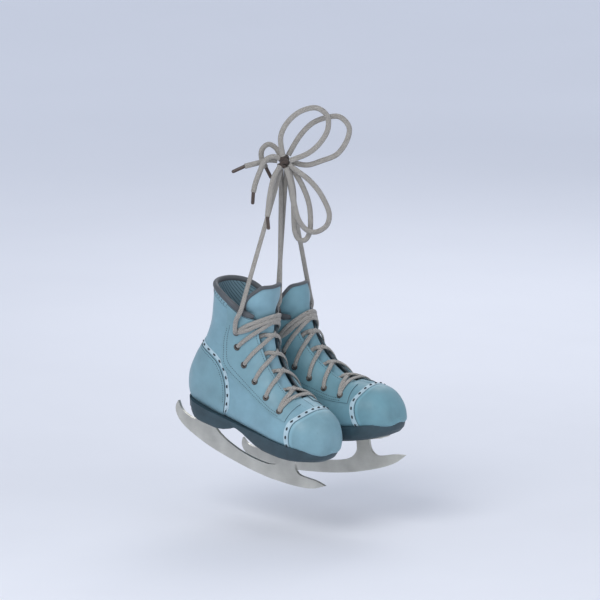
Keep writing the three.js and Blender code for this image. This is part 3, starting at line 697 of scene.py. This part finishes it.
# The sewing: distance between stitches, half of a stitch's length and half of its width.
BOLD = dict(pitch=11.5, half=2.2, thick=1.25)
FINE = dict(pitch=3.0, half=0.95, thick=0.32)
COLLAR_ROW = dict(pitch=3.2, half=1.0, thick=0.34)
OVERCAST = dict(pitch=5.5, half=1.5, thick=0.42, crosswise=True)


class Boot(Last):
    """One boot's surface with its seam lines, and what ties a piece to its skate."""

    def __init__(self, name, at, yaw, pitch, inner):
        super().__init__(at, yaw, pitch, inner)
        self.name = name
        self.look = LOOKS[name]
        self.sides = (("lateral", -inner), ("medial", inner))
        self.toe_line, self.collar_line, self.counter_line = (
            catmull(line, 80) for line in (TOE_CAP_LINE, COLLAR_LINE, COUNTER_LINE))

    def own(self, obj, slot, *nodes):
        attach(obj, f"{self.name}_skate")
        if nodes:
            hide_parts(*[f"{self.name}_{n}" for n in nodes])

    def crossings(self, columns, line, along_x, last=False):
        return np.array([self.seam_t(line, u, along_x, last) for u in columns])

    def region_us(self, ts, grown, back, high):
        """u at which each ring enters the heel's region, with the counter's line moved by grown."""
        line = grow_line(self.counter_line, grown) if grown else self.counter_line
        region = np.vstack([line, [(back, high), (back, REGION_LOW)]])
        return np.array([self.seam_u(region, t) for t in ts])

    def stitched(self, t, u, out, kind):
        return self.at(t, u, out), self.out(t, u), kind


def shift(line, dx=0.0, dz=0.0):
    return np.asarray(line) + (dx, dz)


def grow_line(line, by):
    """The line moved sideways, away from the heel."""
    line = np.asarray(line, float)
    along = unit(np.gradient(line, axis=0))
    return line + np.stack([along[:, 1], -along[:, 0]], axis=1) * by


def between(start, end, rows):
    """Rows of values from one seam to another, with a column for each of their points."""
    return start[None, :] + np.linspace(0, 1, rows)[:, None] * (end - start)[None, :]


def from_ends(count):
    """How many steps each of count points is from the nearer end."""
    steps = np.arange(count)
    return np.minimum(steps, steps[::-1])


def toe_cap(boot):
    """The cap over the whole ring, drawn in to a point at the nose."""
    us = np.linspace(-BACK, BACK, 121)
    edge = boot.crossings(us, boot.toe_line, False)
    s = np.linspace(0, 1, 40)[:, None]
    t = 0.03 + s ** 1.3 * (edge[None, :] - 0.05)
    cap, cap_out = boot.at(t, us[None, :], 0.5), boot.out(t, np.broadcast_to(us[None, :], t.shape))
    rim, ahead = cap[0], boot.turn[:, 0]
    nose = rim.mean(axis=0) + ahead * 2.2
    shrink = np.array([0.02, 0.25, 0.5, 0.75, 0.92])
    tip = nose + (rim - nose) * shrink[:, None, None]
    tip = tip + ahead * (0.8 * (shrink * (1 - shrink)))[:, None, None]
    tip_out = unit(ahead + (cap_out[0] - ahead) * shrink[:, None, None] ** 2)
    points, out = np.concatenate([tip, cap]), np.concatenate([tip_out, cap_out])
    obj = sheet(f"{boot.name}_toe_cap_leather", points, out, LEATHER_THICK, [boot.look["overlay"], EDGE])
    boot.own(obj, "overlay_leather", "toe_cap")


def quarter(boot, side, sign):
    """A side of the boot, from the toe cap to the collar and from the opening to the back seam."""
    spread = np.concatenate([np.linspace(0, 0.25, 14), np.linspace(0.28, 1, 40)])

    def column(t, k):
        return sign * (opening(t) + k * (PANEL_BACK - opening(t)))

    columns = [lambda t, k=k: column(t, k) for k in spread]
    front = boot.crossings(columns, shift(boot.toe_line, QUARTER_START), False)
    top = boot.crossings(columns, boot.collar_line, True, last=True)
    t = between(front, top, 90)
    obj = panel(f"{boot.name}_{side}_quarter_leather", boot, t, column(t, spread[None, :]), 0, LEATHER_THICK,
                [boot.look["leather"], EDGE])
    boot.own(obj, f"{boot.name}_leather", f"{side}_quarter")


def vamp(boot, side, sign):
    """The leather ahead of the opening."""
    us = np.linspace(0.02, SLOT, 8) * sign
    front = boot.crossings(us, shift(boot.toe_line, QUARTER_START), False)
    throat = THROAT + 0.12 * (np.abs(us) / SLOT) ** 2
    obj = panel(f"{boot.name}_{side}_vamp", boot, between(front, throat, 8), us[None, :], 0, LEATHER_THICK,
                [boot.look["leather"], EDGE])
    boot.own(obj, f"{boot.name}_leather")


def facing(boot, side, sign):
    """The strip along the opening that holds the eyelets."""
    spread = np.linspace(0, FACING, 16)
    columns = [lambda t, k=k: sign * opening(t, k) for k in spread]
    bottom = np.maximum(boot.crossings(columns, shift(boot.toe_line, -5), False), FACING_START)
    top = boot.crossings(columns, shift(boot.collar_line, 0, -1), True, last=True)
    t = between(bottom, top, 80)
    u = sign * opening(t, spread[None, :])
    obj = panel(f"{boot.name}_{side}_facing_leather", boot, t, u, OVERLAY_OUT, OVERLAY_THICK,
                [boot.look["overlay"], EDGE], OVERLAY_BEVEL)
    boot.own(obj, "overlay_leather", f"{side}_facing")


def heel_counter(boot):
    ts = np.linspace(7.75, 13.4, 60)
    edge = boot.region_us(ts, 0, -40, 101)
    good = edge < AT_BACK
    ts, edge = ts[good], edge[good]
    s = np.linspace(0, 1, 60)[None, :]
    u = edge[:, None] + s * (RING - 2 * edge)[:, None]
    obj = panel(f"{boot.name}_heel_counter_leather", boot, ts[:, None], u, OVERLAY_OUT, OVERLAY_THICK,
                [boot.look["overlay"], EDGE], OVERLAY_BEVEL)
    boot.own(obj, "overlay_leather", "heel_counter")


def band(boot, part, t, u):
    obj = panel(f"{boot.name}_{part}", boot, t, u, BAND_OUT, BAND_THICK, [BAND], BAND_BEVEL)
    boot.own(obj, "overlay_leather")


def toe_band(boot):
    """The pale band behind the toe cap. Gives its stitches."""
    us = np.linspace(-8.2, 8.2, 101)
    near_edge, far_edge = (boot.crossings(us, shift(boot.toe_line, dx), False) for dx in (-1.2, -BAND_WIDTH))
    band(boot, "toe_band", between(near_edge, far_edge, 6), us[None, :])
    return [boot.stitched((near_edge + far_edge) / 2, us, BAND_STITCH_OUT, BOLD)]


def counter_bands(boot):
    """The pale band round the heel counter, one half a side. Gives its stitches."""
    ts = np.linspace(8.0, 13.9, 80)
    inner_u, outer_u = boot.region_us(ts, 0, -40, 101), boot.region_us(ts, BAND_WIDTH, -60, 109)
    good = outer_u < AT_BACK
    a, b = np.where(inner_u > AT_BACK, BACK, inner_u - 0.1)[good], outer_u[good]
    ts = ts[good]
    runs = []
    for part, sign in (("counter_band_a", 1), ("counter_band_b", -1)):
        band(boot, part, ts[:, None], between(a, b, 6).T * sign)
        runs.append(boot.stitched(ts, sign * (a + b) / 2, BAND_STITCH_OUT, BOLD))
    return runs


def running_stitches(boot, sign):
    """The fine rows of one side: beside the opening, below the collar, in the counter, up the back seam."""
    runs = []
    ts = np.linspace(5.0, 13.2, 120)
    for edge in SIDE_ROWS:
        us = opening(ts, edge) * sign
        end = boot.seam_t(shift(boot.collar_line, 0, -2), lambda t: opening(t, edge) * sign, True, True)
        k = ts < end
        runs.append(boot.stitched(ts[k], us[k], ON_OVERLAY, FINE))
    us = np.linspace(4.6, BACK, 90) * sign
    for drop, kind in ((-3.2, OVERCAST), (-6.5, COLLAR_ROW)):
        ts = boot.crossings(us, shift(boot.collar_line, 0, drop), True, True)
        runs.append(boot.stitched(ts, us, ON_QUARTER, kind))
    ts = np.linspace(8.4, 13.0, 90)
    us = boot.region_us(ts, -3, -60, 98)
    k = us < 9.7
    runs.append(boot.stitched(ts[k], us[k] * sign, ON_OVERLAY, FINE))
    ts = np.linspace(13.3, 15.6, 40)
    runs.append(boot.stitched(ts, np.full_like(ts, BACK_ROW * sign), ON_QUARTER, FINE))
    return runs


STITCH_SIDES = 8
# Place along a stitch, and share of its width there.
STITCH_SHAPE = [(-1.0, 0.35), (-0.6, 0.9), (0.0, 1.0), (0.6, 0.9), (1.0, 0.35)]


def stitch(verts, faces, centre, along, across, n, half, thick):
    """Adds one rounded stitch to a mesh's lists."""
    start = len(verts)
    for station, r in STITCH_SHAPE:
        for k in range(STITCH_SIDES):
            a = 2 * np.pi * k / STITCH_SIDES
            verts.append(centre + along * half * station + across * thick * r * math.cos(a)
                         + n * thick * (0.25 + 0.75 * math.sin(a)) * r)
    last_ring = start + STITCH_SIDES * (len(STITCH_SHAPE) - 1)
    faces += grid_faces(len(STITCH_SHAPE), STITCH_SIDES, start=start, wrap=True)
    faces.append(tuple(range(start, start + STITCH_SIDES)))
    faces.append(tuple(range(last_ring, last_ring + STITCH_SIDES))[::-1])


def sew_run(verts, faces, path, out, pitch, half, thick, crosswise=False):
    """Stitches in a row along a path, or across it."""
    steps = np.concatenate([[0], np.cumsum(np.linalg.norm(np.diff(path, axis=0), axis=1))])

    def along_path(values, at):
        return np.array([np.interp(at, steps, values[:, k]) for k in range(3)])

    for at in np.arange(pitch / 2, steps[-1] - half, pitch):
        centre = along_path(path, at)
        n = unit(along_path(out, at))
        along = unit(along_path(path, at + 0.5) - centre)
        across = np.cross(n, along)
        if crosswise:
            along, across = across, along
        stitch(verts, faces, centre, along, across, n, half, thick)


def sewing(boot):
    """The bands, and all the thread that shows on one boot."""
    runs = toe_band(boot) + counter_bands(boot)
    for _, sign in boot.sides:
        runs += running_stitches(boot, sign)
    verts, faces = [], []
    for path, out, kind in runs:
        sew_run(verts, faces, path, out, **kind)
    boot.own(new_object(f"{boot.name}_stitches", verts, faces, THREAD), f"{boot.name}_leather")


# ------------------------------------------------------------------ eyelets, collar and lining
EYELET_SIDES = 32
EYELET_RADIUS, EYELET_OUT = 3.3, 0.35
# The disc in each eyelet is painted shade for the hollow of its hole.
HOLE_RADIUS, HOLE_OUT = 2.9, 0.12
COLLAR_START = 2.35           # u at which the padded rim begins, beside the tongue
INSIDE = -3.2                 # the lining's outer face


def eyelet_rings(boot):
    rings, holes = [], []
    angle = np.linspace(0, 2 * np.pi, EYELET_SIDES + 1)
    for t, u in EYELETS:
        for sign in (1, -1):
            c, n = boot.at(t, u * sign, OVERLAY_OUT), boot.out(t, u * sign)
            a = unit(np.cross(n, (0.3, 0.2, 0.9)))
            b = np.cross(n, a)
            circle = np.cos(angle)[:, None] * a + np.sin(angle)[:, None] * b
            ring = c + EYELET_RADIUS * circle + n * EYELET_OUT
            rings.append(sweep("ring", ring, 1.15, 0.75, EYELET, side=ring - c, sides=10))
            # A near-black disc of painted shade over each eyelet's hole.
            disc = c + HOLE_RADIUS * circle[:-1] + n * HOLE_OUT
            holes.append(new_object("hole", disc, [tuple(range(EYELET_SIDES))], HOLE_SHADE))
    boot.own(join(f"{boot.name}_eyelets", rings), "steel")
    boot.own(join(f"{boot.name}_eyelet_holes", holes), "inside")


def collar(boot):
    """The padded rim along the top edge."""
    us = np.linspace(COLLAR_START, RING - COLLAR_START, 130)
    us = np.where(us > BACK, us - RING, us)
    ts = boot.crossings(us, boot.collar_line + (0, 3.2), True, True)
    path = boot.at(ts, us, -1.6)
    fade = 0.45 + 0.55 * np.clip(from_ends(len(us)) / 5, 0, 1) ** 0.5
    rim = sweep(f"{boot.name}_collar_roll", path, 3.4 * fade, 4.1 * fade, RIM,
                side=boot.out(ts, us), sides=20)
    boot.own(rim, "rim", "collar")


def lining(boot):
    """The cloth inside the boot, back from the toes."""
    us = np.linspace(3.4, 9.99, 60)
    front_line = np.array([(190, -20), (190, 200)], float)
    pieces = []
    for sign in (1, -1):
        top = boot.crossings(us * sign, boot.collar_line + (0, 1.5), True, True)
        front = boot.crossings(us * sign, front_line, False)
        t = between(front, top, 90)
        pieces.append(panel("cloth", boot, t, us[None, :] * sign, INSIDE, 1.2, [LINING], CLOTH_BEVEL))
    for piece in pieces:
        bake(piece)
    boot.own(join(f"{boot.name}_lining_cloth", pieces), "inside", "lining")


def bake(obj):
    """Applies the modifiers, so that pieces can be joined."""
    bpy.ops.object.select_all(action="DESELECT")
    obj.select_set(True)
    bpy.context.view_layer.objects.active = obj
    bpy.ops.object.convert(target="MESH")


# ------------------------------------------------------------------ the tongue
# t, half width in ring points, depth of the outer side along the middle, how flat it is across
TONGUE_SHAPE = [
    (4.35, 1.9, -3.6, 0), (5.2, 2.0, -3.0, 0), (7, 2.25, -2.8, 0), (9, 2.5, -2.8, 0), (11, 2.8, -2.8, 0),
    (12.4, 2.95, -2.8, 0), (13.4, 3.2, -2.9, 0.05), (14, 3.4, -2.6, 0.3), (14.6, 3.45, -2.2, 0.75),
    (15.2, 3.3, -1.6, 1), (15.8, 2.95, -1.0, 1), (16.2, 2.4, -0.6, 1), (16.5, 1.7, -0.4, 1),
]
# How it drops beside the middle: share of the opening's half width, drop.
TONGUE_FALL = [(0, 0), (0.4, -0.4), (0.7, -1.6), (0.95, -3.0), (1.3, -4.2)]
TONGUE_ROWS = 110
TONGUE_TOP_ROWS = 9           # the last rows, over which the top edge rounds off
TONGUE_BEND = (12.6, 13.3)    # t span; the free top, with its rolled edge, starts above its end
TONGUE_BEND_DEPTH = -6
ROLL_STEPS = 90


def tongue(boot):
    """One padded tongue from the throat to its free top."""
    shape = np.array(TONGUE_SHAPE)
    ts = np.linspace(shape[0, 0], shape[-1, 0], TONGUE_ROWS)
    spread = catmull(shape, 400)
    half, depth, flat = (np.interp(ts, spread[:, 0], spread[:, c]) for c in (1, 2, 3))
    k = np.linspace(-1, 1, 41)
    crown = np.sqrt(np.clip(1 - np.abs(k) ** 5, 0, 1))
    past = (np.arange(TONGUE_ROWS) - (TONGUE_ROWS - TONGUE_TOP_ROWS)) / (TONGUE_TOP_ROWS - 0.5)
    end_round = np.sqrt(np.clip(1 - past.clip(0, 1) ** 2, 0.02, 1))
    puff = crown[None, :] * end_round[:, None] * TONGUE_THICK / 2
    us = half[:, None] * k[None, :]
    fall = np.array(TONGUE_FALL)
    drop = np.interp(np.abs(us) / opening(ts)[:, None], fall[:, 0], fall[:, 1]) * (1 - flat[:, None])
    mid = depth[:, None] + drop - TONGUE_THICK / 2
    t = np.broadcast_to(ts[:, None], us.shape)
    outer, inner = boot.at(t, us, mid + puff), boot.at(t, us, mid - puff)
    verts = np.concatenate([outer, inner[:, 1:-1][:, ::-1]], axis=1)
    columns = verts.shape[1]
    faces = grid_faces(TONGUE_ROWS, columns, wrap=True)
    faces.append(tuple(range(columns))[::-1])
    faces.append(tuple(range((TONGUE_ROWS - 1) * columns, TONGUE_ROWS * columns)))
    if not outward(verts, faces, np.broadcast_to(boot.out(12.0, 0.0), verts.shape)):
        faces = [f[::-1] for f in faces]
    obj = new_object(f"{boot.name}_tongue_pad", verts.reshape(-1, 3), faces, boot.look["leather"])
    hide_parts(f"{boot.name}_tongue", f"{boot.name}_tongue_top")
    start, end = (boot.at(t, 0.0, TONGUE_BEND_DEPTH) for t in TONGUE_BEND)
    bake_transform(obj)
    tongue_roll(boot, ts, half, mid)


def tongue_roll(boot, ts, half, mid):
    """The dark rolled edge up one side of the free top, over it and down the other side."""
    free = ts > TONGUE_BEND[1]
    up_t, up_u, up_depth = ts[free], half[free], mid[free, 0]
    across = np.linspace(1, -1, 16)[1:-1]
    t = np.concatenate([up_t, np.full(len(across), ts[-1] + 0.03), up_t[::-1]])
    u = np.concatenate([up_u, half[-1] * across, -up_u[::-1]])
    depth = np.concatenate([up_depth, np.full(len(across), mid[-1, mid.shape[1] // 2]), up_depth[::-1]])
    path = resample(boot.at(t, u, depth), ROLL_STEPS)
    for _ in range(6):
        path[1:-1] = (path[:-2] + path[1:-1] * 2 + path[2:]) / 4
    taper = np.clip(from_ends(ROLL_STEPS) / 10, 0.25, 1)
    upright = boot.world([0, 0, 1]) - boot.world([0, 0, 0])
    roll = sweep(f"{boot.name}_tongue_roll", path, 2.3 * taper, 3.3 * taper, RIM,
                 side=np.tile(upright, (ROLL_STEPS, 1)))
    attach(roll, f"{boot.name}_tongue_flap")


# ------------------------------------------------------------------ the lacing and its strands
OVER = OVERLAY + 0.2 + LACING_THICK / 2   # the lace's middle on top of a facing
UNDER = -4.4                              # and below one
IN_EYELET = -3.6                          # and where it ends inside an eyelet


def crossing(low, high, side, middle):
    """A route from an eyelet out over its facing, across the tongue, and in under the far one."""
    (ta, ua), (tb, ub) = low, high
    gap = float(opening((ta + tb) / 2))
    points = [
        (0, ua, IN_EYELET), (0, ua, -0.5), (0.01, ua - 0.05, 1.2), (0.05, ua - 0.25, OVER),
        (0.16, (ua + gap) / 2, OVER), (0.28, gap * 0.95, OVER - 0.1), (0.4, gap * 0.5, (OVER + middle) / 2),
        (0.5, 0, middle), (0.62, -gap * 0.45, middle - 1.5), (0.74, -gap * 0.88, UNDER),
        (0.86, -(ub + gap) / 2, UNDER), (0.98, -ub + 0.15, UNDER),
    ]
    return [(ta + (tb - ta) * k, u * side, out) for k, u, out in points]


def straight_across(t, u, rise):
    """A route between the two eyelets of a row, over both facings."""
    gap = float(opening(t))
    inward = [(t, u, IN_EYELET), (t, u, 0), (t + rise * 0.2, u - 0.12, OVER - 0.6),
              (t + rise, (u + gap) / 2, OVER), (t + rise, gap, OVER)]
    mirrored = [(at, -column, out) for at, column, out in inward]
    return mirrored + [(t + rise, 0, OVER - 0.6)] + inward[::-1]


def tight_lace(boot):
    """The lace through the eyelets; of the two sides' crossings, one lies over the other."""
    routes = [crossing(low, high, side, middle)
              for side, middle in ((-1, -0.3), (1, 2.2)) for low, high in zip(EYELETS[:-1], EYELETS[1:])]
    bottom, top = EYELETS[0], EYELETS[-1]
    routes += [straight_across(*row, rise) for row, rise in ((bottom, 0.0), (top, -0.3), (top, 0.35))]
    objs = []
    for route in routes:
        dense = catmull(route, 60)
        path = boot.at(dense[:, 0], dense[:, 1], dense[:, 2])
        side = np.cross(boot.out(dense[:, 0], dense[:, 1]), unit(np.gradient(path, axis=0)))
        for _ in range(4):
            side[1:-1] = (side[:-2] + side[1:-1] + side[2:]) / 3
        objs.append(sweep("run", path, LACING_WIDTH / 2, LACING_THICK / 2, LACE, side=side, sides=12))
    boot.own(join(f"{boot.name}_lacing_drawn", objs), "lace", "lacing")


def strands(boot):
    """The two tight laces from the top eyelets, round the collar and up to the knot."""
    t, u = EYELETS[-1]
    for side, sign in boot.sides:
        start = [boot.at(t, sign * u, out) for out in (0.5, 3.2)]
        mid = [boot.at(t + 0.5, sign * (u + 0.1), 5.2), boot.at(t + 1.5, sign * (u + 0.25), 5.0),
               boot.at(14.5, sign * 3.5, 6.2)]
        knot_end = np.array(STRAND_ENDS[boot.name][side], float)
        taut = [mid[-1] + (knot_end - mid[-1]) * k for k in (0.06, 0.5, 0.9)]
        path = entering(catmull([*start, *mid, *taut, knot_end], 80), STRAND_ROOM)
        across = np.tile((1.0, 0.25 * sign, 0), (len(path), 1))
        obj = sweep(f"{boot.name}_strand_{side}_lace", path, LACE_WIDTH / 2 * STRAND_SLIM,
                    LACE_THICK / 2 * STRAND_SLIM, LACE, side=across, sides=16)
        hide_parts(f"{boot.name}_strand_{side}")
        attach(obj, f"{boot.name}_skate")


def skate(name, place):
    boot = Boot(name, **place)
    toe_cap(boot)
    for side, sign in boot.sides:
        quarter(boot, side, sign)
        vamp(boot, side, sign)
        facing(boot, side, sign)
    heel_counter(boot)
    sewing(boot)
    eyelet_rings(boot)
    collar(boot)
    lining(boot)
    tongue(boot)
    tight_lace(boot)
    strands(boot)


for name, place in SKATES.items():
    skate(name, place)

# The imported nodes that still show, by the first word that their name holds.
CAD_LOOKS = [("blade", STEEL), ("plate", STEEL), ("screw", STEEL), ("outsole", SOLE), ("heel", SOLE),
             ("footbed", LINING)]
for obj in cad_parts.values():
    if not obj.hide_render:
        look = next(m for word, m in CAD_LOOKS if word in obj.name)
        for slot in obj.material_slots:
            slot.material = look
